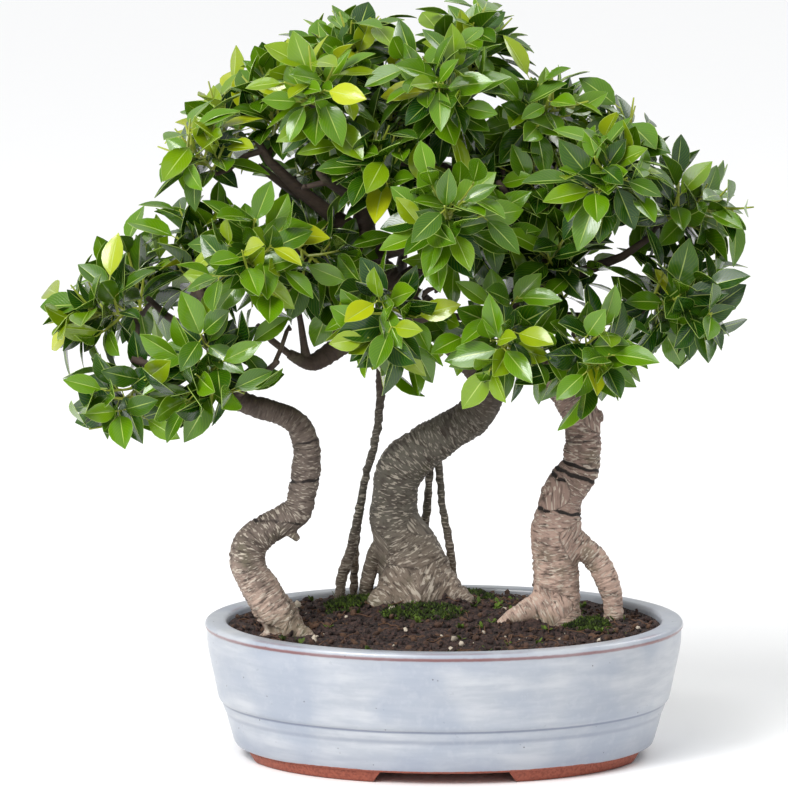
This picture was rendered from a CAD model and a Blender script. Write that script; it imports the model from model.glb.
"""Looks of the fig bonsai in its oval pot: bark, leaves, soil, moss and glaze (metres)."""
import math
import random

import bpy
import numpy as np
from bpy.props import FloatProperty, FloatVectorProperty, IntProperty, PointerProperty
from mathutils import Color, Matrix, Vector, noise
from mathutils.bvhtree import BVHTree
from mathutils.kdtree import KDTree


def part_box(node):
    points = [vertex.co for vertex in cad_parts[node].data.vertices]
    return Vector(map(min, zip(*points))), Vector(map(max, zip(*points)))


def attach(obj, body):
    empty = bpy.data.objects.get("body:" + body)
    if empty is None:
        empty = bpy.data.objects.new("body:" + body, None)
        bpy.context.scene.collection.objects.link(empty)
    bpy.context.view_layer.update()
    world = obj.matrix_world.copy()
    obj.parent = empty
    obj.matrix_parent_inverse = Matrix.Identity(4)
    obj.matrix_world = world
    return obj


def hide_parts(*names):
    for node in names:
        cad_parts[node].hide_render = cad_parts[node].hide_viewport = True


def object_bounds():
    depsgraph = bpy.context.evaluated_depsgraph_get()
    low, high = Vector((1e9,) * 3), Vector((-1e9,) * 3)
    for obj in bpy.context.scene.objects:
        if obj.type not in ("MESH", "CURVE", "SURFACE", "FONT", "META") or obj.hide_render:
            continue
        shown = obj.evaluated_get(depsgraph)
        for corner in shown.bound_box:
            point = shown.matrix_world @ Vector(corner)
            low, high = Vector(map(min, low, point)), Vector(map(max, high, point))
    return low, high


bl_info = {
    "name": "Fig bonsai in an oval pot",
    "version": (1, 0, 0),
    "blender": (4, 5, 0),
    "location": "View3D > Sidebar > Bonsai",
    "description": "Bark, foliage, soil, moss and glaze of a fig bonsai in an oval pot",
    "category": "Object",
}

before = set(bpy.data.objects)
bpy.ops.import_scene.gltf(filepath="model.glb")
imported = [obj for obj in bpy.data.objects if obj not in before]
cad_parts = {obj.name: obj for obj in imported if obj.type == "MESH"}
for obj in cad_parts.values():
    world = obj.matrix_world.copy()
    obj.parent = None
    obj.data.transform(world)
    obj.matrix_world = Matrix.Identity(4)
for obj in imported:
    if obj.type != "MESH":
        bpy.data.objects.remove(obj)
CAD_LOW, CAD_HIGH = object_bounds()
POT_LOW, POT_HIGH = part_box("pot")
POT = Vector(((POT_LOW.x + POT_HIGH.x) / 2, (POT_LOW.y + POT_HIGH.y) / 2, 0.0))
MM = 0.001
OVAL = 0.76                           # the pot's depth over its width
GOLDEN = math.radians(137.508)
TURN = 6.28
WELD = 0.00001                        # points closer than this are one point
SHOOTS = sorted(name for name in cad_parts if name.startswith("shoot_"))

# ---- wood that shows: x, y, z, radius along each run from its foot, mm from the pot's centre ----

LEFT_TRUNK = (
    (-129, -34, 88, 13), (-131, -35, 108, 16), (-140, -35.5, 127, 15.5), (-152, -35, 145, 15),
    (-164, -33, 169, 14.2), (-159, -30, 188, 14), (-140, -27, 200, 12.6),
    (-123.5, -25, 210, 12.2), (-119, -24, 226, 11.7), (-115, -25, 244, 12.1),
    (-114.6, -27, 262, 10.9), (-117.5, -29, 277, 10.5), (-126.5, -31, 289, 9.6),
    (-141.5, -33, 297, 9), (-159, -35, 302, 8.6), (-174, -35, 309, 8.2), (-183, -33, 322, 7.2),
    (-188, -30, 345, 6.2), (-196, -26, 372, 5.2))
LEFT_SIDE = (
    ((-133, -27, 199, 6), (-127, -28.5, 193, 4.4), (-121.5, -30, 187.5, 2.8)),
    ((-133, -35, 113, 11), (-118, -42, 109, 8), (-104, -47, 99, 5)),
    ((-134, -35, 110, 11), (-149, -42, 104, 7), (-160, -47, 93, 4)))
CENTER_TRUNK = (
    (-20, 50, 100, 25), (-21, 50, 125, 36), (-24, 50, 140, 31.5), (-28.6, 50, 160, 27),
    (-40.6, 50, 186, 21.2), (-41.4, 50, 212, 18.5), (-35.5, 50, 233, 19.8),
    (-22, 49, 248, 19), (-1, 48, 262, 16.6), (21, 46, 276, 15.2), (33, 44, 290, 13.8),
    (36, 43, 309, 13.2), (23, 43, 329, 13.2), (1, 44, 351, 13.2), (-24, 45, 372, 13.8),
    (-45, 45, 389, 13.8), (-60, 42, 412, 11.6), (-67, 37, 440, 9.6), (-62, 31, 470, 8))
CENTER_SIDE = (
    ((-52, 44, 392, 13), (-69, 43, 386, 12), (-74.5, 41, 373, 10.8), (-75, 39, 356, 10),
     (-87, 36, 341, 9.4), (-105, 32, 329, 7.6), (-116, 28, 328, 5.8), (-130, 23, 336, 4.2)),
    ((-25, 45, 136, 18), (-50, 30, 124, 12.5), (-62, 23, 108, 8)),
    ((-18, 45, 136, 18), (11, 35, 125, 11.5), (28, 25, 108, 7)),
    ((-20, 56, 135, 18), (-10, 84, 125, 11), (-4, 100, 108, 7)),
    ((-33, 52, 185, 10), (-56, 54, 164, 6.4), (-64, 56, 136, 6), (-68, 56, 108, 4.4)))
AERIAL_ROOTS = (
    ((-53, 44, 384, 7), (-50, 52, 364, 5.2), (-51.5, 59, 345, 4.5), (-53, 62, 329, 4),
     (-54, 64, 282, 3.6), (-59, 65, 249, 3.4), (-66, 65, 223, 3.2), (-70, 65, 200, 3.6),
     (-78, 64, 162, 4.4), (-86, 63, 136, 4.6), (-89, 62, 104, 3.6)),
    ((-70, 65, 200, 3.4), (-74, 73, 170, 3.6), (-75.5, 80, 140, 3.6), (-76, 83, 106, 2.8)),
    ((-13, 56, 248, 5), (-12, 70, 228, 3.6), (-14, 76, 196, 3.3), (-18, 79, 160, 3.8),
     (-20, 80, 108, 3)),
    ((-8, 56, 250, 5), (-4, 70, 230, 3.4), (-1, 74, 196, 3), (6, 74, 156, 3.6),
     (10, 74, 106, 2.8)))
RIGHT_TRUNK = (
    (90, 2, 90, 18), (92, 0, 115, 23.5), (93.5, 0, 130, 20.5), (94, 0, 148, 19),
    (93, 0, 173, 19), (94, 0, 192, 20.8), (96, 0, 209, 18.2), (101, 0, 225, 17.2),
    (112, 0, 241, 16.8), (115, 0, 256, 15.2), (116, 0, 274, 14.5), (113.6, 0, 290, 15),
    (100, 0, 310, 14), (83, 1, 324, 13), (70, 3, 340, 11.8), (62, 6, 357, 10.6),
    (63, 8, 377, 9.4), (72, 9, 398, 8))
RIGHT_SIDE = (
    ((118, 0, 285, 6), (125, -1.5, 286.5, 5.6), (132, -3, 288, 5.2)),
    ((92, -6, 225, 7), (87, -9, 225.5, 5.5), (82, -12, 226, 4)),
    ((98, 0, 188, 12), (112, 0, 178, 10.8), (125, 0, 167, 10), (136, 0, 149, 9.5),
     (141, 0, 132, 8.6), (142, 0, 112, 7.8), (141, 0, 88, 5)),
    ((90, -4, 130, 15), (66, -12, 122, 9), (50, -16, 114, 6), (38, -18, 102, 4)),
    ((94, 6, 128, 14), (98, 30, 116, 8), (100, 46, 98, 5)))
CRACKS = {                            # height at the trunk's middle in mm, slope, strength
    "left_tree": ((238, 0.1, 0.8), (204, -0.3, 0.4), (271, 0.2, 0.4)),
    "center_tree": ((303, 0.3, 0.4),),
    "right_tree": ((239, -0.42, 1.0), (246, -0.3, 0.9), (209, -0.3, 1.0), (312, -0.4, 0.8),
                   (268, 0.1, 0.4)),
}

CRACK_WIDTH = 0.0014
FLUTE_TOP = 0.165                     # height up to which the feet of the trunks are fluted
SWELLS = 60                           # swellings and folds of the bark per metre
FOLDS_AROUND = 70
FOLDS_ALONG = 250
STOUT = 1.12                          # frame wood within this many radii of a run is stout,
TUCKED = 0.72                         # and is drawn in to this share of its distance
FULL_RELIEF = 0.012                   # radius from which wood has the whole depth of bark

SOIL_EDGE = 0.109                     # height of the soil at the pot's wall
SOIL_REACH = 0.1808                   # its half-width there
OPEN_SOIL = 0.1795                    # half-width of the soil that carries crumbs and weeds
SOIL_MOUNDS = (                       # centre x, y; spread x, y; height
    (-0.02, 0.042, 0.075, 0.055, 0.0205),
    (0.072, 0.004, 0.042, 0.04, 0.009),
    (0.14, -0.004, 0.026, 0.03, 0.004),
)
MOSS = {                              # centre x, y; radii x, y; height
    "moss_front": (-0.018, -0.001, 0.036, 0.014, 0.0045),
    "moss_left": (-0.08, 0.036, 0.024, 0.021, 0.0055),
    "moss_right": (0.119, -0.02, 0.021, 0.013, 0.005),
    "moss_behind": (0.026, 0.062, 0.018, 0.024, 0.006),
}

# Half-width and height down the pot's section, from the inner floor over the lip to the foot.
POT_SECTION = (
    (0.156, 0.019), (0.162, 0.0205), (0.1655, 0.025), (0.171, 0.04), (0.1745, 0.056),
    (0.1772, 0.07), (0.1794, 0.088), (0.1812, 0.106), (0.1816, 0.1115), (0.1823, 0.1135),
    (0.1836, 0.1147), (0.1855, 0.115), (0.1905, 0.1151), (0.195, 0.115), (0.1975, 0.1146),
    (0.1991, 0.1137), (0.2, 0.1122), (0.2003, 0.1106), (0.2, 0.1095), (0.1992, 0.1088),
    (0.1988, 0.1078), (0.1987, 0.102), (0.1983, 0.095), (0.1971, 0.088), (0.1955, 0.08),
    (0.1934, 0.0705), (0.1912, 0.06), (0.1896, 0.052), (0.189, 0.0496), (0.188, 0.048),
    (0.1864, 0.047), (0.1858, 0.0458), (0.1856, 0.044), (0.1848, 0.0415), (0.1836, 0.0385),
    (0.1826, 0.0366), (0.1821, 0.0345), (0.1812, 0.0305), (0.1798, 0.0255), (0.1782, 0.02),
    (0.1771, 0.016), (0.176, 0.0128), (0.1748, 0.0108), (0.1725, 0.0098), (0.15, 0.0098),
)
LIP_EDGE = 0.1143                     # heights that the glaze follows on the pot
LIP_BASE = 0.1096
BELT_TOP = 0.0462
BELT_BASE = 0.0372
DRAIN_X = 0.07                       # from the pot's centre to each drain hole
DRAIN_RADIUS = 0.01
FOOT_GAP_X = 0.124                    # between the feet, along the pot and across it
FOOT_GAP_Y = 0.09
FOOT_SECTION = ((0.144, 0.0108), (0.1715, 0.0108), (0.1705, 0.008), (0.168, 0.0022),
                (0.1664, 0.0005), (0.1645, 0.0), (0.151, 0.0), (0.149, 0.0006),
                (0.1475, 0.0025))

# Lowest and highest leaf tip across the crown: sideways and up from the pot's centre, in mm.
CROWN_FLOOR = ((-345, 305), (-300, 285), (-270, 271), (-200, 281), (-135, 330), (-70, 330),
               (-12, 297), (60, 277), (90, 275), (122, 306), (170, 318), (205, 335), (245, 365))
CROWN_ROOF = ((-345, 385), (-288, 440), (-262, 474), (-236, 535), (-182, 572), (-155, 617),
              (-122, 624), (-60, 635), (45, 635), (72, 600), (112, 588), (165, 552), (200, 520),
              (245, 490))


# ---- small helpers ----

def picked(description, value):
    """A colour setting; shaders take it by name, as linear values."""
    return FloatVectorProperty(description=description, subtype="COLOR_GAMMA", size=3,
                               min=0.0, max=1.0, default=value)


def length(description, value):
    return FloatProperty(description=description, unit="LENGTH", default=value)


def select_only(obj):
    bpy.ops.object.select_all(action="DESELECT")
    obj.select_set(True)
    bpy.context.view_layer.objects.active = obj


def new_object(name, data):
    obj = bpy.data.objects.new(name, data)
    bpy.context.scene.collection.objects.link(obj)
    return obj


def primitive(operator, **settings):
    """Add a mesh primitive with everything else deselected."""
    bpy.ops.object.select_all(action="DESELECT")
    operator(**settings)
    return bpy.context.active_object


def edit_all():
    """Enter edit mode with the whole mesh selected."""
    bpy.ops.object.mode_set(mode="EDIT")
    bpy.ops.mesh.select_all(action="SELECT")


def apply_all(obj):
    select_only(obj)
    for modifier in list(obj.modifiers):
        bpy.ops.object.modifier_apply(modifier=modifier.name)


def finish_piece(obj, materials, slot, *nodes):
    obj.data.materials.clear()
    for material in materials:
        obj.data.materials.append(material)
    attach(obj, "root")
    if nodes:
        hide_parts(*nodes)


def soil_height(x, y):
    """The soil's smooth top over the pot, in metres from the pot's centre."""
    height = SOIL_EDGE
    for cx, cy, sx, sy, rise in SOIL_MOUNDS:
        height += rise * math.exp(-((x - cx) / sx) ** 2 - ((y - cy) / sy) ** 2)
    return height


def lumpy(x, y):
    """The soil's real top, with its lumps."""
    spot = Vector((x, y, 0.0))
    lumps = noise.noise(spot * 70) * 0.0026 + noise.noise(spot * 190) * 0.002
    return soil_height(x, y) + lumps + noise.noise(spot * 480) * 0.0009


def route(rows, step=2.0):
    """Points every few mm on a smooth curve through a run's rows, in world metres."""
    rows = np.array(rows, float)
    ends = np.vstack([2 * rows[0] - rows[1], rows, 2 * rows[-1] - rows[-2]])
    out = []
    for a, b, c, d in zip(ends, ends[1:], ends[2:], ends[3:]):
        count = max(2, int(np.linalg.norm((c - b)[:3]) / step))
        for t in np.arange(count) / count:
            out.append(0.5 * (2 * b + (c - a) * t + (2 * a - 5 * b + 4 * c - d) * t * t
                              + (3 * b - a - 3 * c + d) * t ** 3))
    out.append(rows[-1])
    out = np.array(out) * MM
    out[:, :3] += np.array(POT)
    return out


def tube(name, points, resolution):
    """A closed tube through points, made from a bevelled curve."""
    curve = bpy.data.curves.new(name, "CURVE")
    curve.dimensions = "3D"
    curve.bevel_depth = 1.0
    curve.bevel_resolution = resolution
    curve.use_fill_caps = True
    spline = curve.splines.new("POLY")
    spline.points.add(len(points) - 1)
    for point, row in zip(spline.points, points):
        point.co = (row[0], row[1], row[2], 1.0)
        point.radius = row[3]
    select_only(new_object(name, curve))
    bpy.ops.object.convert(target="MESH")
    edit_all()
    bpy.ops.mesh.remove_doubles(threshold=WELD)
    bpy.ops.object.mode_set(mode="OBJECT")
    return bpy.context.view_layer.objects.active


def join(objects):
    bpy.ops.object.select_all(action="DESELECT")
    for obj in objects:
        obj.select_set(True)
    bpy.context.view_layer.objects.active = objects[0]
    bpy.ops.object.join()
    return objects[0]


def vertex_array(mesh):
    co = np.empty(len(mesh.vertices) * 3)
    mesh.vertices.foreach_get("co", co)
    return co.reshape(-1, 3)


class Shape:
    """A small solid's vertices and faces, ready to be repeated."""

    def __init__(self, mesh):
        self.co = vertex_array(mesh)
        self.loops = np.array([loop.vertex_index for loop in mesh.loops])
        self.totals = np.array([len(face.vertices) for face in mesh.polygons])
        self.finish = np.array([face.material_index for face in mesh.polygons])
        self.uv = np.zeros((len(self.loops), 2))
        if mesh.uv_layers:
            flat = np.empty(len(self.loops) * 2)
            mesh.uv_layers[0].data.foreach_get("uv", flat)
            self.uv = flat.reshape(-1, 2)


def shape_of(obj):
    """Take an object's mesh as a Shape and remove the object."""
    shape = Shape(obj.data)
    bpy.data.objects.remove(obj)
    return shape


class Heap:
    """Collects many placed copies of small solids into one mesh."""

    def __init__(self):
        self.parts = []
        self.count = 0

    def add(self, shape, co, tone, finish=None):
        kind = shape.finish if finish is None else np.full(len(shape.totals), finish)
        self.parts.append((co, shape.loops + self.count, shape.totals, kind, shape.uv,
                           np.full(len(co), tone)))
        self.count += len(co)

    def build(self, name, angle=35.0):
        co, loops, totals, kind, uv, tone = (np.concatenate(rows) for rows in zip(*self.parts))
        mesh = bpy.data.meshes.new(name)
        mesh.vertices.add(len(co))
        mesh.vertices.foreach_set("co", co.ravel())
        mesh.loops.add(len(loops))
        mesh.loops.foreach_set("vertex_index", loops.astype(np.int32))
        mesh.polygons.add(len(totals))
        starts = np.concatenate([[0], np.cumsum(totals)[:-1]])
        mesh.polygons.foreach_set("loop_start", starts.astype(np.int32))
        mesh.polygons.foreach_set("material_index", kind.astype(np.int32))
        mesh.uv_layers.new(name="UVMap").data.foreach_set("uv", uv.ravel())
        mesh.update(calc_edges=True)
        mesh.validate()
        attribute = mesh.attributes.new("tone", "FLOAT", "POINT")
        attribute.data.foreach_set("value", tone.astype(np.float32))
        mesh.shade_smooth()
        mesh.set_sharp_from_angle(angle=math.radians(angle))
        return new_object(name, mesh)


def thread_shape(points, radii, sides=5):
    """A thin closed tube as bare arrays: its vertices, and its faces as a Shape."""
    points = [Vector(p) for p in points]
    co = []
    across = (points[1] - points[0]).orthogonal().normalized()
    for i, point in enumerate(points):
        ahead = points[min(i + 1, len(points) - 1)] - points[max(i - 1, 0)]
        across = (across - ahead * across.dot(ahead) / ahead.length_squared).normalized()
        other = ahead.normalized().cross(across)
        for k in range(sides):
            turn = 2 * math.pi * k / sides
            co.append(point + (across * math.cos(turn) + other * math.sin(turn)) * radii[i])
    faces = [list(range(sides))[::-1]]
    for i in range(len(points) - 1):
        for k in range(sides):
            low, high = i * sides + k, i * sides + (k + 1) % sides
            faces.append([low, high, high + sides, low + sides])
    last = (len(points) - 1) * sides
    faces.append([last + k for k in range(sides)])
    mesh = bpy.data.meshes.new("thread")
    mesh.from_pydata(co, [], faces)
    shape = Shape(mesh)
    bpy.data.meshes.remove(mesh)
    return shape


# ---- shader expressions ----

class Term:
    """A shader socket that Python arithmetic works on."""

    def __init__(self, graph, socket):
        self.graph = graph
        self.socket = socket

    def math(self, operation, *others):
        values = dict(enumerate((self,) + others))
        return self.graph.node("ShaderNodeMath", {"operation": operation}, values)

    def __add__(self, other):
        return self.math("ADD", other)

    def __sub__(self, other):
        return self.math("SUBTRACT", other)

    def __rsub__(self, other):
        return self.math("MULTIPLY", -1.0).math("ADD", other)

    def __mul__(self, other):
        return self.math("MULTIPLY", other)

    def __truediv__(self, other):
        return self.math("DIVIDE", other)

    def __abs__(self):
        return self.math("ABSOLUTE")

    __radd__ = __add__
    __rmul__ = __mul__


class Graph:
    """One material's node tree. A colour may be given by its name in the looks."""

    def __init__(self, name, looks):
        self.looks = looks
        self.material = bpy.data.materials.new(name)
        self.material.use_nodes = True
        self.tree = self.material.node_tree
        self.shader = self.tree.nodes["Principled BSDF"]
        self.color = None

    def node(self, kind, settings=None, inputs=None, output=0):
        made = self.tree.nodes.new(kind)
        for key, value in (settings or {}).items():
            setattr(made, key, value)
        for key, value in (inputs or {}).items():
            self.feed(made.inputs[key], value)
        return Term(self, made.outputs[output])

    def feed(self, socket, value):
        if isinstance(value, str):
            value = tuple(Color(getattr(self.looks, value)).from_srgb_to_scene_linear())
        if isinstance(value, Term):
            self.tree.links.new(value.socket, socket)
        elif socket.type == "RGBA":
            socket.default_value = (*value, 1.0)
        else:
            socket.default_value = value

    def place(self):
        return self.node("ShaderNodeTexCoord", output="Object")

    def flat(self):
        return self.node("ShaderNodeTexCoord", output="UV")

    def split(self, vector):
        made = self.node("ShaderNodeSeparateXYZ", inputs={0: vector})
        outputs = made.socket.node.outputs
        return [Term(self, outputs[i]) for i in range(3)]

    def stretch(self, vector, scale):
        return self.node("ShaderNodeVectorMath", {"operation": "MULTIPLY"},
                         {0: vector, 1: scale})

    def noise(self, vector, scale, detail=2.0, rough=0.5):
        return self.node("ShaderNodeTexNoise", inputs={"Vector": vector, "Scale": scale,
                                                       "Detail": detail, "Roughness": rough})

    def cells(self, vector, scale):
        return self.node("ShaderNodeTexVoronoi", inputs={"Vector": vector, "Scale": scale},
                         output="Distance")

    def attribute(self, name):
        return self.node("ShaderNodeAttribute", {"attribute_name": name}, output="Fac")

    def ease(self, value, low, high):
        """0 below low, 1 above high, smooth between; turned round where low is the larger."""
        return self.node("ShaderNodeMapRange", {"interpolation_type": "SMOOTHSTEP"},
                         {0: value, 1: low, 2: high})

    def mix(self, share, first, second):
        return self.node("ShaderNodeMix", {"data_type": "RGBA"},
                         {0: share, 6: first, 7: second}, output=2)

    def paint(self, share, color):
        """Lay a colour over what is there."""
        self.color = self.mix(share, self.color, color)

    def bump(self, height, distance, strength):
        return self.node("ShaderNodeBump", inputs={"Height": height, "Distance": distance,
                                                   "Strength": strength})

    def finish(self, roughness, normal=None, coat=0.0):
        self.feed(self.shader.inputs["Base Color"], self.color)
        self.feed(self.shader.inputs["Roughness"], roughness)
        if normal is not None:
            self.feed(self.shader.inputs["Normal"], normal)
        self.feed(self.shader.inputs["Coat Weight"], coat)
        return self.material


# ---- materials ----

def glaze_material(looks):
    g = Graph("satin_glaze", looks)
    where = g.place()
    x, y, z = g.split(where)
    streaks = g.noise(g.stretch(where, (7.0, 7.0, 45.0)), 2.2, 4.0, 0.6)
    clouds = g.noise(where, 16.0, 3.0)
    mottle = g.noise(where, 130.0, 3.0, 0.6)
    g.color = g.mix(g.ease(streaks, 0.34, 0.7), "glaze", "glaze_pale")
    g.paint(g.ease(clouds, 0.4, 0.66) * 0.75, "glaze_deep")
    g.paint(g.ease(mottle, 0.5, 0.72) * 0.25, "glaze_pale")
    around = ((x - POT.x) * (x - POT.x) + (y - POT.y) * (y - POT.y) / OVAL ** 2)
    wall = g.ease(around, 0.197 ** 2, 0.1985 ** 2)
    thin = g.ease(abs(z - LIP_BASE + mottle * 0.001 - 0.0005), 0.0022, 0.0006) * wall
    g.paint(thin * (0.35 + clouds), "thin_glaze")
    edge = g.ease(abs(z - LIP_EDGE), 0.0009, 0.0002) * g.ease(clouds, 0.5, 0.66) * 0.4
    g.paint(edge, "thin_glaze")
    crease = g.ease(abs(z - BELT_TOP + streaks * 0.001 - 0.0005), 0.0016, 0.0003)
    g.paint(crease * 0.75, "crease")
    groove = g.ease(abs(z - BELT_BASE), 0.0028, 0.0004)
    g.paint(groove * 0.3, "crease")
    fade = g.ease(z, 0.03, 0.014)
    g.paint(fade * 0.3, "crease")
    pits = g.cells(where, 150.0)
    rare = g.noise(where, 60.0, 1.0)
    pinholes = g.ease(pits, 0.13, 0.05) * g.ease(rare, 0.56, 0.62)
    g.paint(pinholes * 0.8, "pinhole")
    ends = g.ease(abs(x - POT.x), 0.105, 0.15)
    clay_line = z + mottle * 0.0014 - 0.0007 + ends * 0.0022
    bare = g.ease(clay_line, 0.0122, 0.0115)
    grit = g.noise(where, 420.0, 2.0)
    clay = g.mix(g.ease(grit, 0.35, 0.7), "clay", "clay_deep")
    clay = g.mix(g.ease(z, 0.0035, 0.0) * 0.4, clay, "clay_deep")
    g.paint(bare, clay)
    rough = 0.24 + mottle * 0.12 + bare * 0.5 + pinholes * 0.3
    height = streaks * 0.5 + mottle * 0.25 - pinholes * 0.8 + grit * bare
    return g.finish(rough, g.bump(height, 0.0006, 0.5), 0.15)


def bark_material(name, looks, base, middle, base_z, top_z):
    """Bark with crosswise wrinkles and pale pores; base and middle name its colours below."""
    g = Graph(name, looks)
    flat = g.node("ShaderNodeAttribute", {"attribute_name": "along"}, output="Vector")
    where = g.place()
    _, _, z = g.split(where)
    patches = g.noise(where, 34.0, 4.0, 0.6)
    blotches = g.noise(where, 75.0, 3.0, 0.6)
    wrinkles = g.noise(g.stretch(flat, (90.0, 90.0, 480.0)), 1.0, 3.0, 0.6)
    fine = g.noise(g.stretch(flat, (420.0, 420.0, 1300.0)), 1.0, 2.0)
    rise = z + (patches - 0.5) * 0.06
    g.color = g.mix(g.ease(rise, base_z, base_z + 0.075), base, middle)
    g.paint(g.ease(rise, top_z - 0.05, top_z + 0.02), "top")
    g.paint(g.ease(patches, 0.54, 0.7) * 0.55, "olive")
    g.paint(g.ease(blotches, 0.5, 0.68) * 0.5, "furrow")
    g.paint(g.ease(wrinkles, 0.5, 0.32) * 0.85, "furrow")
    pores = g.noise(g.stretch(flat, (170.0, 170.0, 680.0)), 1.0, 1.5)
    pale = g.ease(pores, 0.55, 0.63) * g.ease(z, top_z + 0.02, top_z - 0.08)
    g.paint(pale * (0.25 + patches * 0.6), "pore")
    flecks = g.ease(g.noise(where, 210.0, 2.0), 0.62, 0.72) * g.ease(rise, 0.2, 0.13)
    g.paint(flecks * 0.6, "pore")
    crack = g.attribute("crack")
    g.paint(g.ease(crack, 0.15, 0.6), "crack")
    moss = g.ease(rise, 0.142, 0.112) * g.ease(patches, 0.42, 0.6)
    g.paint(moss * 0.45, "stain")
    height = wrinkles * 0.9 + fine * 0.35 + pale * 0.25 - crack * 0.8
    return g.finish(0.7 + fine * 0.15, g.bump(height, 0.0012, 0.9))


def leaf_material(looks):
    """The upper side: deep glossy green, pale midrib, faint side veins and a thin pale edge."""
    g = Graph("leaf_upper", looks)
    u, v, _ = g.split(g.flat())
    tone = g.attribute("tone")
    where = g.place()
    clouds = g.noise(where, 40.0, 2.0)
    g.color = g.mix(g.ease(tone, 0.05, 0.5), "leaf_deep", "leaf_mid")
    g.paint(g.ease(tone, 0.48, 0.95), "leaf_young")
    g.paint(g.ease(clouds, 0.45, 0.75) * 0.2, "leaf_mid")
    off = abs(v - 0.5)
    veins = g.node("ShaderNodeMath", {"operation": "SINE"}, {0: (u - off * 0.55) * 95.0})
    lines = g.ease(veins, 0.7, 1.0) * g.ease(off, 0.02, 0.12)
    g.paint(lines * 0.12, "leaf_young")
    rib = g.ease(off, 0.03, 0.012) * g.ease(u, 1.02, 0.55)
    g.paint(rib * 0.75, "rib")
    margin = g.ease(off, 0.482, 0.497)
    g.paint(margin * 0.55, "rib")
    stalk = g.ease(u, 0.16, 0.11)
    g.paint(stalk, "stalk")
    height = lines * 0.4 - rib + clouds * 0.3
    return g.finish(0.16 + clouds * 0.12, g.bump(height, 0.0004, 0.5), 0.25)


def underside_material(looks):
    g = Graph("leaf_underside", looks)
    u, v, _ = g.split(g.flat())
    clouds = g.noise(g.place(), 60.0, 2.0)
    tone = g.attribute("tone")
    g.color = g.mix(g.ease(tone, 0.2, 1.0), "under", "under_young")
    off = abs(v - 0.5)
    rib = g.ease(off, 0.04, 0.015)
    g.paint(rib * 0.7, "rib")
    g.paint(g.ease(u, 0.16, 0.11), "stalk")
    return g.finish(0.48 + clouds * 0.12, g.bump(rib + clouds * 0.2, 0.0004, 0.5))


def twig_material(looks):
    g = Graph("twig", looks)
    where = g.place()
    grain = g.noise(where, 260.0, 3.0)
    tone = g.attribute("tone")
    g.color = g.mix(tone, "twig_old", "twig_young")
    g.paint(g.ease(grain, 0.42, 0.66) * 0.6, "furrow_twig")
    return g.finish(0.62, g.bump(grain, 0.0004, 0.7))


def soil_material(looks):
    g = Graph("soil", looks)
    where = g.place()
    tone = g.attribute("tone")
    grain = g.noise(where, 320.0, 4.0, 0.7)
    lumps = g.noise(where, 90.0, 3.0)
    g.color = g.mix(g.ease(grain, 0.35, 0.68), "soil", "crumb")
    g.paint(g.ease(lumps, 0.5, 0.7) * 0.5, "soil")
    g.paint(g.ease(tone, 0.55, 0.75) * 0.75, "fibre")
    g.paint(g.ease(tone, 0.86, 0.97), "grit")
    return g.finish(0.8 + grain * 0.15, g.bump(grain + lumps, 0.0016, 1.0))


def moss_material(looks):
    g = Graph("moss", looks)
    where = g.place()
    tone = g.attribute("tone")
    tufts = g.noise(where, 300.0, 3.0)
    g.color = g.mix(tone, "moss_deep", "moss_bright")
    g.paint(g.ease(tufts, 0.4, 0.7) * 0.5, "moss_mid")
    return g.finish(0.85, g.bump(tufts, 0.001, 0.8))


def screen_material(looks):
    g = Graph("drain_screen", looks)
    grain = g.noise(g.place(), 500.0, 2.0)
    g.color = g.mix(grain, "screen", "soil")
    return g.finish(0.45 + grain * 0.2, g.bump(grain, 0.0002, 0.4))


def floor_material(looks):
    g = Graph("floor", looks)
    grain = g.noise(g.place(), 40.0, 2.0)
    g.color = g.mix(grain * 0.05, "floor", (0.8, 0.8, 0.8))
    return g.finish(0.9)


# ---- settings ----

class PotLooks(bpy.types.PropertyGroup):
    steps: IntProperty(description="Faces round the oval", default=176)
    glaze: picked("Main glaze colour", (0.655, 0.674, 0.707))
    glaze_pale: picked("Streaks where the glaze is thick", (0.738, 0.75, 0.77))
    glaze_deep: picked("Bluer clouds in the glaze", (0.592, 0.624, 0.682))
    thin_glaze: picked("Clay showing through on edges", (0.5, 0.33, 0.33))
    crease: picked("Glaze in the grooves", (0.43, 0.46, 0.54))
    pinhole: picked("Dark pits in the glaze", (0.3, 0.27, 0.28))
    clay: picked("Bare red clay", (0.61, 0.325, 0.245))
    clay_deep: picked("Darker bare clay", (0.5, 0.245, 0.18))
    screen: picked("Plastic screens over the drain holes", (0.06, 0.06, 0.06))
    soil: picked("Dust on the screens", (0.11, 0.085, 0.08))


class BarkLooks(bpy.types.PropertyGroup):
    voxel: length("Size of the wood's mesh cells", 0.00115)
    wrinkle: length("Depth of the crosswise wrinkles", 0.00085)
    bulge: length("Height of the swellings", 0.0016)
    left_base: picked("Left trunk near the soil", (0.7, 0.605, 0.545))
    left: picked("Left trunk", (0.43, 0.38, 0.345))
    center_base: picked("Centre trunk near the soil", (0.52, 0.46, 0.405))
    center: picked("Centre trunk", (0.385, 0.365, 0.325))
    right_base: picked("Right trunk near the soil", (0.73, 0.62, 0.56))
    right: picked("Right trunk", (0.54, 0.45, 0.405))
    top: picked("Bark in the crown", (0.27, 0.215, 0.175))
    olive: picked("Greenish tint in patches", (0.34, 0.33, 0.24))
    furrow: picked("Between the wrinkles", (0.215, 0.17, 0.145))
    pore: picked("Pale crosswise pores", (0.83, 0.785, 0.72))
    crack: picked("Ring cracks and cuts", (0.12, 0.085, 0.07))
    stain: picked("Moss tint at the foot", (0.33, 0.35, 0.2))
    root: picked("Hanging roots", (0.3, 0.245, 0.21))


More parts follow.
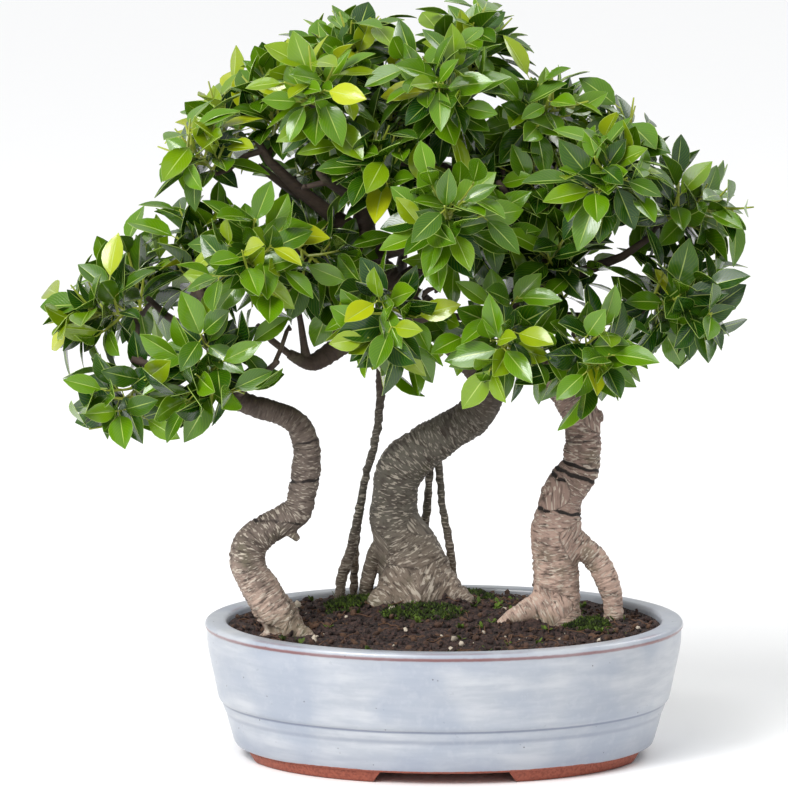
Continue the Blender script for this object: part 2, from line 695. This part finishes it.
class LeafLooks(bpy.types.PropertyGroup):
    size: length("Length of a full leaf with its stalk", 0.0555)
    width: FloatProperty(description="Width over length", default=0.46)
    thickness: length("Thickness of the blade", 0.00045)
    leaf_deep: picked("Old leaves", (0.075, 0.25, 0.025))
    leaf_mid: picked("Full leaves", (0.35, 0.52, 0.025))
    leaf_young: picked("Young leaves and veins", (0.68, 0.72, 0.085))
    rib: picked("Midrib and leaf edge", (0.72, 0.8, 0.4))
    stalk: picked("Leaf stalks", (0.64, 0.68, 0.26))
    under: picked("Underside of old leaves", (0.4, 0.49, 0.23))
    under_young: picked("Underside of young leaves", (0.6, 0.69, 0.29))
    twig_old: picked("Twigs near the limbs", (0.29, 0.21, 0.15))
    twig_young: picked("Twigs at the tips", (0.56, 0.4, 0.21))
    furrow_twig: picked("Dark grain on twigs", (0.22, 0.15, 0.11))


class BedLooks(bpy.types.PropertyGroup):
    crumbs: IntProperty(description="Loose crumbs on the soil", default=2400)
    fibres: IntProperty(description="Root threads on the soil", default=110)
    weeds: IntProperty(description="Tiny green plants", default=95)
    soil: picked("Dark soil", (0.075, 0.05, 0.048))
    crumb: picked("Lighter soil", (0.32, 0.235, 0.21))
    fibre: picked("Bark chips and root threads", (0.47, 0.34, 0.24))
    grit: picked("Pale grit", (0.78, 0.73, 0.66))
    moss_deep: picked("Moss in its own shade", (0.09, 0.13, 0.04))
    moss_mid: picked("Moss", (0.19, 0.24, 0.065))
    moss_bright: picked("Tips of the moss and seedlings", (0.37, 0.47, 0.12))


class StageLooks(bpy.types.PropertyGroup):
    floor: picked("Pale floor", (0.985, 0.985, 0.985))
    sun: FloatProperty(description="Strength of the even key", default=1.65)
    key: FloatProperty(description="Power of the large soft light",
                       unit="POWER", default=36.0)
    fill: FloatProperty(description="Strength of the even light", default=0.62)
    distance: length("From the plant's middle", 9.0)
    focal: FloatProperty(description="Lens, in mm", default=491.0)


# ---- pot ----

def turned(name, section, steps, closed):
    """Turn a section round the pot's axis by extruding a ring, then squash it to the oval."""
    radius, height = section[0]
    obj = primitive(bpy.ops.mesh.primitive_circle_add, vertices=steps, radius=radius,
                    location=(0, 0, height))
    obj.name = name
    bpy.ops.object.transform_apply(location=True, rotation=True, scale=True)
    edit_all()
    rows = list(section[1:]) + ([section[0]] if closed else [])
    for new_radius, new_height in rows:
        rise = (0.0, 0.0, new_height - height)
        bpy.ops.mesh.extrude_edges_move(TRANSFORM_OT_translate={"value": rise})
        share = new_radius / radius
        bpy.ops.transform.resize(value=(share, share, 1.0),
                                 center_override=(0.0, 0.0, new_height))
        radius, height = new_radius, new_height
    if not closed:
        bpy.ops.mesh.edge_face_add()
        bpy.ops.mesh.select_all(action="DESELECT")
        bpy.ops.object.mode_set(mode="OBJECT")
        for edge in obj.data.edges:
            edge.select = False
        for vert in obj.data.vertices:
            vert.select = vert.index < steps
        bpy.ops.object.mode_set(mode="EDIT")
        bpy.ops.mesh.edge_face_add()
    bpy.ops.mesh.select_all(action="SELECT")
    bpy.ops.mesh.remove_doubles(threshold=WELD)
    bpy.ops.mesh.normals_make_consistent(inside=False)
    bpy.ops.transform.resize(value=(1.0, OVAL, 1.0), center_override=(0.0, 0.0, 0.0))
    bpy.ops.transform.translate(value=POT)
    bpy.ops.object.mode_set(mode="OBJECT")
    return obj


def cut(obj, tool):
    """Cut the tool out of the object, then remove the tool."""
    boolean = obj.modifiers.new("cut", "BOOLEAN")
    boolean.operation = "DIFFERENCE"
    boolean.object = tool
    apply_all(obj)
    bpy.data.objects.remove(tool)


def foot_cutter(size, top_share):
    """A long bar with a narrower top, to part the feet."""
    bar = primitive(bpy.ops.mesh.primitive_cube_add, size=1.0, location=(POT.x, POT.y, 0.004))
    bar.scale = size
    bpy.ops.object.transform_apply(location=True, rotation=True, scale=True)
    bpy.ops.object.mode_set(mode="EDIT")
    bpy.ops.mesh.select_all(action="DESELECT")
    bpy.ops.object.mode_set(mode="OBJECT")
    for face in bar.data.polygons:
        face.select = face.normal.z > 0.9
    bpy.ops.object.mode_set(mode="EDIT")
    share = (top_share, 1.0, 1.0) if size[0] < size[1] else (1.0, top_share, 1.0)
    bpy.ops.transform.resize(value=share, center_override=(POT.x, POT.y, 0.0))
    bpy.ops.object.mode_set(mode="OBJECT")
    return bar


class BONSAI_OT_pot(bpy.types.Operator):
    """Make the glazed oval pot with its belt, red clay feet and drain holes"""
    bl_idname = "bonsai.pot"
    bl_label = "Pot"

    def execute(self, context):
        looks = context.scene.bonsai_pot
        pot = turned("glazed_pot", POT_SECTION, looks.steps, False)
        for x in (-DRAIN_X, DRAIN_X):
            cut(pot, primitive(bpy.ops.mesh.primitive_cylinder_add, vertices=32, depth=0.04,
                               radius=DRAIN_RADIUS, location=(POT.x + x, POT.y, 0.019)))
        feet = turned("feet", FOOT_SECTION, looks.steps, True)
        for size in ((FOOT_GAP_X, 0.6, 0.015), (0.6, FOOT_GAP_Y, 0.015)):
            cut(feet, foot_cutter(size, 0.84))
        bevel = feet.modifiers.new("worn edges", "BEVEL")
        bevel.width = 0.0016
        bevel.segments = 3
        bevel.limit_method = "ANGLE"
        bevel.angle_limit = math.radians(50)
        apply_all(feet)
        join([pot, feet])
        select_only(pot)
        bpy.ops.object.shade_smooth_by_angle(angle=math.radians(42))
        finish_piece(pot, [glaze_material(looks)], "glaze", "pot")
        return {"FINISHED"}


class BONSAI_OT_screens(bpy.types.Operator):
    """Finish the plastic screens over the drain holes"""
    bl_idname = "bonsai.screens"
    bl_label = "Drain screens"

    def execute(self, context):
        material = screen_material(context.scene.bonsai_pot)
        for name in ("drain_mesh_left", "drain_mesh_right"):
            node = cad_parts[name]
            for slot in node.material_slots:
                slot.material = material
        return {"FINISHED"}


# ---- wood ----

def wood_guide(runs):
    """Nearest-point lookup over the runs: point, radius, distance along and sideways axes."""
    rows = []
    for run in runs:
        points = route(run, 1.5)
        along = 0.0
        across = Vector((0.0, 1.0, 0.0))
        for i, row in enumerate(points):
            here = Vector(row[:3])
            ahead = Vector(points[min(i + 1, len(points) - 1)][:3])
            behind = Vector(points[max(i - 1, 0)][:3])
            way = (ahead - behind).normalized()
            across = (across - way * across.dot(way)).normalized()
            rows.append((here, row[3], along, way, across, way.cross(across)))
            along += (ahead - here).length
    tree = KDTree(len(rows))
    for i, row in enumerate(rows):
        tree.insert(row[0], i)
    tree.balance()
    return tree, rows


def stout_wood(name, runs, looks):
    """Round trunks and roots melted into one solid."""
    wood = join([tube(name, route(run), 12) for run in runs])
    remesh = wood.modifiers.new("melt", "REMESH")
    remesh.mode = "VOXEL"
    remesh.voxel_size = looks.voxel
    smooth = wood.modifiers.new("soften", "SMOOTH")
    smooth.iterations = 10
    smooth.factor = 0.5
    apply_all(wood)
    return wood


def wrinkle(wood, runs, cracks, looks):
    """Move the surface in and out along its normals, and lay the bark's coordinates on it."""
    tree, rows = wood_guide(runs)
    bark, crack_values, moved = [], [], []
    for vert in wood.data.vertices:
        _, index, _ = tree.find(vert.co)
        here, radius, along, way, across, other = rows[index]
        arm = vert.co - here
        turn = math.atan2(arm.dot(other), arm.dot(across))
        s = along + arm.dot(way)
        x, y = math.cos(turn) * radius, math.sin(turn) * radius
        spot = Vector((x * SWELLS, y * SWELLS, s * SWELLS))
        swell = noise.noise(spot + Vector((0.0, 3.1, 7.7))) * looks.bulge
        ring = Vector((x * FOLDS_AROUND, y * FOLDS_AROUND, s * FOLDS_ALONG))
        fold = (1.0 - abs(noise.noise(ring)) * 2.4) * looks.wrinkle
        fine = noise.noise(ring * 2.3) * looks.wrinkle * 0.6
        thick = min(1.0, radius / FULL_RELIEF)
        flute = 0.0
        height = vert.co.z
        if height < FLUTE_TOP and radius > 0.013:
            flute = math.sin(turn * 5 + s * 20) * 0.0016 * (FLUTE_TOP - height) / 0.05
        crack = 0.0
        for level, slope, strength in cracks:
            wobble = noise.noise(Vector((turn * 1.6, level, 0.0))) * 0.0022
            gap = height - level * MM - slope * arm.x - wobble
            front = 0.8 + 0.6 * noise.noise(Vector((turn * 1.3, level * 0.7, 5.0)))
            crack = max(crack, strength * front * math.exp(-(gap / CRACK_WIDTH) ** 2))
        push = (swell + fold + fine) * thick + flute - crack * 0.0012
        moved.append(vert.co + vert.normal * push)
        bark.append((x, y, s))
        crack_values.append(min(1.0, crack * 1.4))
    wood.data.vertices.foreach_set("co", np.array(moved).ravel())
    return bark, crack_values


def lay_bark(obj, finish, along=None, crack=None):
    """Store the material, the bark's own coordinates, which run along the wood, and cracks."""
    along = along or [v.co for v in obj.data.vertices]
    crack = crack or [0.0] * len(along)
    for layer in list(obj.data.uv_layers):
        obj.data.uv_layers.remove(layer)
    obj.data.polygons.foreach_set("material_index", [finish] * len(obj.data.polygons))
    layer = obj.data.attributes.new("along", "FLOAT_VECTOR", "POINT")
    layer.data.foreach_set("vector", np.array(along, np.float32).ravel())
    for name, values in (("crack", crack), ("tone", [0.0] * len(crack))):
        attribute = obj.data.attributes.new(name, "FLOAT", "POINT")
        attribute.data.foreach_set("value", np.array(values, np.float32))


def cad_branches(node, tree, rows):
    """The thin limbs: a copy of the frame's wood, its stout parts drawn inside the new trunk."""
    copy = new_object("limbs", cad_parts[node].data.copy())
    select_only(copy)
    edit_all()
    bpy.ops.mesh.remove_doubles(threshold=0.00002)
    bpy.ops.mesh.tris_convert_to_quads()
    bpy.ops.object.mode_set(mode="OBJECT")
    for vert in copy.data.vertices:
        _, index, distance = tree.find(vert.co)
        here, radius = rows[index][:2]
        if distance < radius * STOUT:
            vert.co = here + (vert.co - here) * TUCKED
    copy.data.materials.clear()
    lay_bark(copy, 1)
    return copy


def hanging_root(rows, seed):
    """A knobbly root that hangs from the limb into the soil."""
    points = route(rows, 2.2)
    for i, row in enumerate(points):
        spot = Vector((i * 0.35, seed * 9.0, 0.0))
        row[3] *= 1.0 + 0.3 * noise.noise(spot * 1.7)
        row[0] += noise.noise(spot + Vector((0, 0, 4))) * 0.0011
        row[1] += noise.noise(spot + Vector((0, 0, 8))) * 0.0011
    root = tube("hanging_root", points, 4)
    lay_bark(root, 1)
    return root


class BONSAI_OT_trees(bpy.types.Operator):
    """Make the three trunks with their roots, limbs and twigs"""
    bl_idname = "bonsai.trees"
    bl_label = "Trunks and limbs"

    def execute(self, context):
        looks = context.scene.bonsai_bark
        recipes = (
            ("left_tree", LEFT_TRUNK, LEFT_SIDE, (), "left_base", "left", 0.12, 0.3),
            ("center_tree", CENTER_TRUNK, CENTER_SIDE, AERIAL_ROOTS, "center_base", "center",
             0.13, 0.3),
            ("right_tree", RIGHT_TRUNK, RIGHT_SIDE, (), "right_base", "right", 0.15, 0.345))
        dark = bark_material("dark_bark", looks, "root", "root", 0.1, 0.3)
        for node, trunk, side, hanging, base, middle, base_z, top_z in recipes:
            runs = (trunk,) + side
            wood = stout_wood(node + "_wood", runs, looks)
            lay_bark(wood, 0, *wrinkle(wood, runs, CRACKS[node], looks))
            limbs = cad_branches(node, *wood_guide(runs + hanging))
            join([wood, limbs] + [hanging_root(run, seed) for seed, run in enumerate(hanging)])
            wood.data.shade_smooth()
            material = bark_material(node + "_bark", looks, base, middle, base_z, top_z)
            finish_piece(wood, [material, dark], "bark", node)
        return {"FINISHED"}


# ---- leaves ----

LEAF_ROOM = 0.0072                    # least distance between two blades
TWIG_RADII = (0.0014, 0.0012, 0.001, 0.0007)
SIDE_TWIGS = 12
LEADER = 0.046                        # length of a shoot's leading twig
LIGHT = Vector((-0.15, -0.35, 0.92))  # the way the leaves turn their faces
# Places along a leaf from its stalk, and the blade's width there over its greatest width.
LEAF_STATIONS = (0.0, 0.13, 0.2, 0.32, 0.46, 0.6, 0.74, 0.86, 0.94, 1.0)
LEAF_WIDTHS = (0.05, 0.05, 0.3, 0.74, 0.97, 1.0, 0.84, 0.52, 0.24, 0.02)


def leaf_shape(looks, fold, droop, cup):
    """One leaf of unit length along X: a grid drawn to its outline, folded, bent, thickened."""
    leaf = primitive(bpy.ops.mesh.primitive_grid_add, x_subdivisions=9, y_subdivisions=4,
                     size=1.0)
    rows = sorted({round(v.co.x, 4) for v in leaf.data.vertices})
    for vert in leaf.data.vertices:
        row = rows.index(round(vert.co.x, 4))
        side = vert.co.y
        station = LEAF_STATIONS[row]
        half = LEAF_WIDTHS[row] * looks.width
        across = abs(side) * 2
        lift = (fold * across - cup * across * across) * half / 2
        wave = 0.006 * math.sin(station * 11 + side * 4) * across
        vert.co = (station, side * half, lift - droop * station * station + wave)
    solid = leaf.modifiers.new("blade", "SOLIDIFY")
    solid.thickness = looks.thickness / looks.size
    solid.offset = -1.0
    solid.material_offset = 1
    solid.material_offset_rim = 0
    leaf.data.materials.append(None)
    leaf.data.materials.append(None)
    apply_all(leaf)
    return shape_of(leaf)


def in_crown(tip):
    """Whether a leaf or twig may reach that far."""
    x = (tip.x - POT.x) / MM
    floor = np.interp(x, *zip(*CROWN_FLOOR))
    roof = np.interp(x, *zip(*CROWN_ROOF))
    inside = all(CAD_LOW[i] - 0.01 < tip[i] < CAD_HIGH[i] + 0.01 for i in (0, 1))
    return inside and floor * MM < tip.z < roof * MM


class Crown:
    """Grows leaves on shoots and keeps them from lying through one another."""

    def __init__(self, looks, wood, rows):
        self.looks = looks
        bends = ((0.5, 0.1, 0.16), (0.34, 0.22, 0.1), (0.62, 0.04, 0.2), (0.24, 0.14, 0.02))
        self.shapes = [leaf_shape(looks, *bend) for bend in bends]
        self.blades = np.zeros((12000, 3))
        self.filled = 0
        self.middle = Vector((POT.x - 0.03, POT.y, 0.4))
        self.wood, self.rows = wood, rows

    def clear(self, spots):
        """Whether the spots keep off the leaves so far and off the wood."""
        taken = self.blades[:self.filled]
        for spot in spots:
            if self.filled and np.min(np.sum((taken - spot) ** 2, axis=1)) < LEAF_ROOM ** 2:
                return False
            _, index, distance = self.wood.find(spot)
            if distance < self.rows[index][1] + 0.003:
                return False
        return True

    def leaf(self, heap, rng, base, way, top_side, size, tone):
        """One leaf, if there is room for it."""
        way = way.normalized()
        normal = top_side - way * top_side.dot(way)
        if normal.length < 0.05:
            normal = way.orthogonal()
        normal.normalize()
        side = normal.cross(way)
        spots = [np.array(base + way * size * share) for share in (0.45, 0.72, 0.95)]
        if not in_crown(base + way * size) or not self.clear(spots):
            return
        self.blades[self.filled:self.filled + 3] = spots
        self.filled += 3
        shape = self.shapes[rng.randrange(4)]
        broad = rng.uniform(0.86, 1.12)
        axes = np.array([way, side * broad, normal]) * size
        heap.add(shape, shape.co @ axes + np.array(base), tone)

    def axis(self, heap, rng, foot, way, reach, count, size, young, first):
        """One twig with its leaves in a spiral, each turned towards the light."""
        lift = Vector((0.0, 0.0, 0.12 * reach))
        points = [foot + way * reach * t + lift * t * t for t in (0.0, 0.33, 0.66, 1.0)]
        if not in_crown(points[-1]):
            return
        stem = thread_shape(points, TWIG_RADII)
        heap.add(stem, stem.co, 0.35 + 0.6 * young, 2)
        side = way.orthogonal().normalized()
        outward = (foot - self.middle).normalized()
        for i in range(count):
            share = (i + 0.6) / count
            base = foot + way * reach * share + lift * share * share
            turn = first + i * GOLDEN
            out = Matrix.Rotation(turn, 3, way) @ side
            opening = math.radians(82 - 48 * share ** 1.3 + rng.uniform(-9, 9))
            aim = way * math.cos(opening) + out * math.sin(opening)
            aim = aim + Vector((0, 0, rng.uniform(-0.22, 0.1)))
            sway = Vector([rng.uniform(-1, 1) for _ in range(3)])
            top_side = way + LIGHT * 0.5 + outward * 0.15 + sway * 0.42
            grown = size * (1.0 - 0.3 * abs(share - 0.45)) * rng.uniform(0.82, 1.16)
            tone = young * (0.15 + 0.95 * share) + rng.uniform(-0.22, 0.26)
            if rng.random() < 0.012:
                tone = 1.0
            self.leaf(heap, rng, base, aim, top_side, grown, max(0.0, min(1.0, tone)))

    def shoot(self, name, foot, way):
        """A leading twig with side twigs, in place of the frame's plain shoot."""
        rng = random.Random(name)
        heap = Heap()
        looks = self.looks
        high = (foot.z - 0.33) / 0.3
        left = (POT.x - foot.x) / 0.3
        young = max(0.14, min(0.85, 0.26 + 0.3 * high + 0.2 * left + rng.uniform(-0.1, 0.18)))
        size = looks.size * (0.93 - 0.06 * high)
        turn = rng.uniform(0, TURN)
        self.axis(heap, rng, foot, way, LEADER, 10, size, young, turn)
        side = way.orthogonal().normalized()
        for i in range(SIDE_TWIGS):
            share = 0.02 + 0.08 * i
            around = Matrix.Rotation(turn + 1.1 + i * GOLDEN, 3, way) @ side
            tilt = math.radians(rng.uniform(48, 78) - 20 * share)
            aim = (way * math.cos(tilt) + around * math.sin(tilt)
                   + Vector((0, 0, 0.22))).normalized()
            start = foot + way * LEADER * share
            self.axis(heap, rng, start, aim, rng.uniform(0.024, 0.04), rng.choice((6, 7, 8)),
                      size * rng.uniform(0.82, 0.98), young, turn + i)
        return heap.build(name + "_leaves")


def shoot_foot(name, trees):
    """Where the frame's shoot leaves its twig, and which way it points."""
    points = [v.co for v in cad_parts[name].data.vertices]
    gaps = [(min(tree.find_nearest(p)[3] for tree in trees), i) for i, p in enumerate(points)]
    nearest = min(gaps)[0]
    foot = sum((points[i] for gap, i in gaps if gap < nearest + 0.0008), Vector())
    foot /= sum(1 for gap, _ in gaps if gap < nearest + 0.0008)
    low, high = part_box(name)
    return foot, ((low + high) / 2 - foot).normalized()


class BONSAI_OT_leaves(bpy.types.Operator):
    """Grow the leafy shoots of the crown"""
    bl_idname = "bonsai.leaves"
    bl_label = "Leaves"

    def execute(self, context):
        looks = context.scene.bonsai_leaf
        materials = [leaf_material(looks), underside_material(looks), twig_material(looks)]
        crown = Crown(looks, *wood_guide((LEFT_TRUNK,) + LEFT_SIDE + (CENTER_TRUNK,)
                                         + CENTER_SIDE + (RIGHT_TRUNK,) + RIGHT_SIDE))
        trees = []
        for name in ("left_tree", "center_tree", "right_tree"):
            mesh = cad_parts[name].data
            trees.append(BVHTree.FromPolygons([v.co for v in mesh.vertices],
                                              [p.vertices for p in mesh.polygons]))
        for name in SHOOTS:
            shoot = crown.shoot(name, *shoot_foot(name, trees))
            finish_piece(shoot, materials, "leaf", name)
        return {"FINISHED"}


# ---- soil and moss ----

def leaning(spin, lean):
    """A direction that leans from upright by one angle, turned by the other."""
    return Vector((math.cos(spin) * math.sin(lean), math.sin(spin) * math.sin(lean),
                   math.cos(lean)))


def in_pot(rng, share=0.98):
    """A random place on the soil, in metres from the pot's centre."""
    turn = rng.uniform(0, 2 * math.pi)
    reach = OPEN_SOIL * share * math.sqrt(rng.random())
    return reach * math.cos(turn), reach * math.sin(turn) * OVAL


class BONSAI_OT_soil(bpy.types.Operator):
    """Fill the pot with crumbly soil, threads and grit"""
    bl_idname = "bonsai.soil"
    bl_label = "Soil"

    def execute(self, context):
        looks = context.scene.bonsai_bed
        rng = random.Random(11)
        section = [(0.1555, 0.0195), (0.164, 0.025), (0.1703, 0.04), (0.1763, 0.07),
                   (0.18, 0.101), (SOIL_REACH, SOIL_EDGE)]
        section += [(SOIL_REACH * (1 - i / 62), SOIL_EDGE) for i in range(1, 62)]
        soil = turned("soil_bed", section, 192, False)
        for vert in soil.data.vertices:
            if vert.co.z > SOIL_EDGE - 0.0001:
                x, y = vert.co.x - POT.x, vert.co.y - POT.y
                if math.hypot(x, y / OVAL) < SOIL_REACH - 0.0005:
                    vert.co.z = lumpy(x, y)
        heap = Heap()
        heap.add(Shape(soil.data), vertex_array(soil.data), 0.0, 0)
        bpy.data.objects.remove(soil)
        crumb = shape_of(primitive(bpy.ops.mesh.primitive_ico_sphere_add, subdivisions=1,
                                   radius=1.0))
        for _ in range(looks.crumbs):
            x, y = in_pot(rng)
            size = 0.0008 + 0.0034 * rng.random() ** 2.4
            turn = rng.uniform(0, TURN)
            spin = Matrix.Rotation(turn, 3, Vector((rng.random(), 1, rng.random())))
            axes = np.array(spin) * np.array([1.0, rng.uniform(0.6, 1), rng.uniform(0.5, 0.9)])
            jitter = 1 + 0.22 * np.array([[rng.uniform(-1, 1)] for _ in crumb.co])
            co = (crumb.co * jitter) @ axes.T * size
            co += np.array((POT.x + x, POT.y + y, lumpy(x, y) + size * 0.35))
            tone = rng.choice((0.1, 0.2, 0.3, 0.4, 0.62, 0.66)) if rng.random() > 0.02 else 1.0
            heap.add(crumb, co, tone, 0)
        for _ in range(looks.fibres):
            x, y = in_pot(rng, 0.94)
            turn = rng.uniform(0, TURN)
            points = []
            for i in range(6):
                turn += rng.uniform(-0.5, 0.5)
                x, y = x + 0.0042 * math.cos(turn), y + 0.0042 * math.sin(turn)
                if math.hypot(x, y / OVAL) > 0.176:
                    break
                points.append((POT.x + x, POT.y + y, lumpy(x, y) + 0.0008 + 0.0006 * i % 0.0013))
            if len(points) > 2:
                thread = thread_shape(points, [0.0004] * len(points), 4)
                heap.add(thread, thread.co, 0.72, 0)
        bed = heap.build("soil_bed", 60.0)
        finish_piece(bed, [soil_material(looks)], "soil", "soil")
        return {"FINISHED"}


def blade_shape():
    """A tiny pointed leaflet, closed, of unit length along X."""
    shape = shape_of(primitive(bpy.ops.mesh.primitive_uv_sphere_add, segments=4, ring_count=4,
                               radius=1.0))
    shape.co = np.array([((z + 1) / 2, x, y * 0.22) for x, y, z in shape.co])
    return shape


class BONSAI_OT_moss(bpy.types.Operator):
    """Grow the moss cushions and the seedlings on the soil"""
    bl_idname = "bonsai.moss"
    bl_label = "Moss"

    def execute(self, context):
        looks = context.scene.bonsai_bed
        material = moss_material(looks)
        blade = blade_shape()
        for name, (cx, cy, rx, ry, rise) in MOSS.items():
            rng = random.Random(name)
            heap = Heap()
            for _ in range(420):
                turn, reach = rng.uniform(0, TURN), math.sqrt(rng.random())
                x, y = cx + rx * reach * math.cos(turn), cy + ry * reach * math.sin(turn)
                ground = lumpy(x, y) + rise * (1 - reach * reach) * 0.6
                tone = rng.random() ** 1.6
                for _ in range(3):
                    lean, spin = rng.uniform(0.2, 1.1), rng.uniform(0, TURN)
                    way = leaning(spin, lean)
                    side = way.orthogonal().normalized()
                    axes = np.array([way * rng.uniform(0.0025, 0.005), side * 0.0006,
                                     way.cross(side) * 0.0012])
                    heap.add(blade, blade.co @ axes
                             + np.array((POT.x + x, POT.y + y, ground - 0.0006)), tone, 0)
            finish_piece(heap.build(name + "_tufts"), [material], "moss", name)
        heap = Heap()
        rng = random.Random(5)
        made = 0
        while made < looks.weeds:
            x, y = in_pot(rng, 0.93)
            if rng.random() > (0.95 if x > 0.02 and y > -0.02 else 0.22):
                continue
            made += 1
            tone = rng.uniform(0.45, 1.0)
            for _ in range(rng.choice((4, 5, 6, 8))):
                spin = rng.uniform(0, TURN)
                way = leaning(spin, rng.uniform(0.5, 1.3))
                side = Vector((-math.sin(spin), math.cos(spin), 0.0))
                size = rng.uniform(0.003, 0.0075)
                axes = np.array([way * size, side * size * 0.26, way.cross(side) * size * 0.2])
                heap.add(blade, blade.co @ axes
                         + np.array((POT.x + x + rng.uniform(-0.002, 0.002),
                                     POT.y + y, lumpy(x, y) - 0.0003)), tone, 0)
        finish_piece(heap.build("seedlings"), [material], "moss")
        return {"FINISHED"}


# ---- stage ----

CAMERA_TILT = math.radians(10)


def lamp(kind, name, place, target, size, power):
    """A round soft area light, or an even sun whose size is an angle."""
    light = bpy.data.lights.new(name, kind)
    light.energy = power
    if kind == "SUN":
        light.angle = size
    else:
        light.shape = "DISK"
        light.size = size
    obj = new_object(name, light)
    obj.location = place
    obj.rotation_euler = (Vector(target) - Vector(place)).to_track_quat("-Z", "Y").to_euler()


class BONSAI_OT_stage(bpy.types.Operator):
    """Set the pale floor, the soft lights and the camera"""
    bl_idname = "bonsai.stage"
    bl_label = "Stage"

    def execute(self, context):
        looks = context.scene.bonsai_stage
        floor = primitive(bpy.ops.mesh.primitive_plane_add, size=14.0)
        floor.name = "floor"
        floor.data.materials.append(floor_material(looks))
        world = bpy.data.worlds.new("studio")
        world.use_nodes = True
        sky = world.node_tree.nodes["Background"]
        sky.inputs["Color"].default_value = (0.98, 0.99, 1.0, 1.0)
        sky.inputs["Strength"].default_value = looks.fill
        context.scene.world = world
        middle = (0.0, 0.0, 0.32)
        lamp("SUN", "daylight", (-1.6, -2.2, 3.0), middle, math.radians(40), looks.sun)
        lamp("AREA", "key", (-1.3, -1.7, 2.0), middle, 1.1, looks.key)
        lamp("AREA", "rim", (1.5, 1.2, 1.9), middle, 1.3, looks.key * 0.5)
        camera = bpy.data.cameras.new("camera")
        camera.lens = looks.focal
        camera.sensor_width = 36.0
        holder = new_object("camera", camera)
        target = Vector((POT.x - 0.0419, POT.y + 0.0326, 0.3))
        back = Vector((0.0, -math.cos(CAMERA_TILT), math.sin(CAMERA_TILT)))
        holder.location = target + back * looks.distance
        holder.rotation_euler = (-back).to_track_quat("-Z", "Y").to_euler()
        context.scene.camera = holder
        context.scene.view_settings.view_transform = "Standard"
        context.scene.view_settings.look = "None"
        return {"FINISHED"}


# ---- panel and registration ----

OPERATORS = (BONSAI_OT_stage, BONSAI_OT_pot, BONSAI_OT_screens, BONSAI_OT_trees, BONSAI_OT_leaves,
             BONSAI_OT_soil, BONSAI_OT_moss)
SETTINGS = {"bonsai_pot": PotLooks, "bonsai_bark": BarkLooks, "bonsai_leaf": LeafLooks,
            "bonsai_bed": BedLooks, "bonsai_stage": StageLooks}


class BONSAI_PT_panel(bpy.types.Panel):
    """The bonsai's pieces, in the order they are made"""
    bl_idname = "BONSAI_PT_panel"
    bl_label = "Bonsai"
    bl_space_type = "VIEW_3D"
    bl_region_type = "UI"
    bl_category = "Bonsai"

    def draw(self, context):
        for operator in OPERATORS:
            self.layout.operator(operator.bl_idname)
        for name, group in SETTINGS.items():
            box = self.layout.box()
            for key in group.__annotations__:
                label = key.replace("_", " ").capitalize()
                box.prop(getattr(context.scene, name), key, text=label)


CLASSES = (*SETTINGS.values(), *OPERATORS, BONSAI_PT_panel)


def register():
    for kind in CLASSES:
        bpy.utils.register_class(kind)
    for name, group in SETTINGS.items():
        setattr(bpy.types.Scene, name, PointerProperty(type=group))


def unregister():
    for name in SETTINGS:
        delattr(bpy.types.Scene, name)
    for kind in reversed(CLASSES):
        bpy.utils.unregister_class(kind)


def main():
    register()
    bpy.ops.bonsai.stage()
    bpy.ops.bonsai.pot()
    bpy.ops.bonsai.screens()
    bpy.ops.bonsai.trees()
    bpy.ops.bonsai.leaves()
    bpy.ops.bonsai.soil()
    bpy.ops.bonsai.moss()


if __name__ == "__main__":
    main()
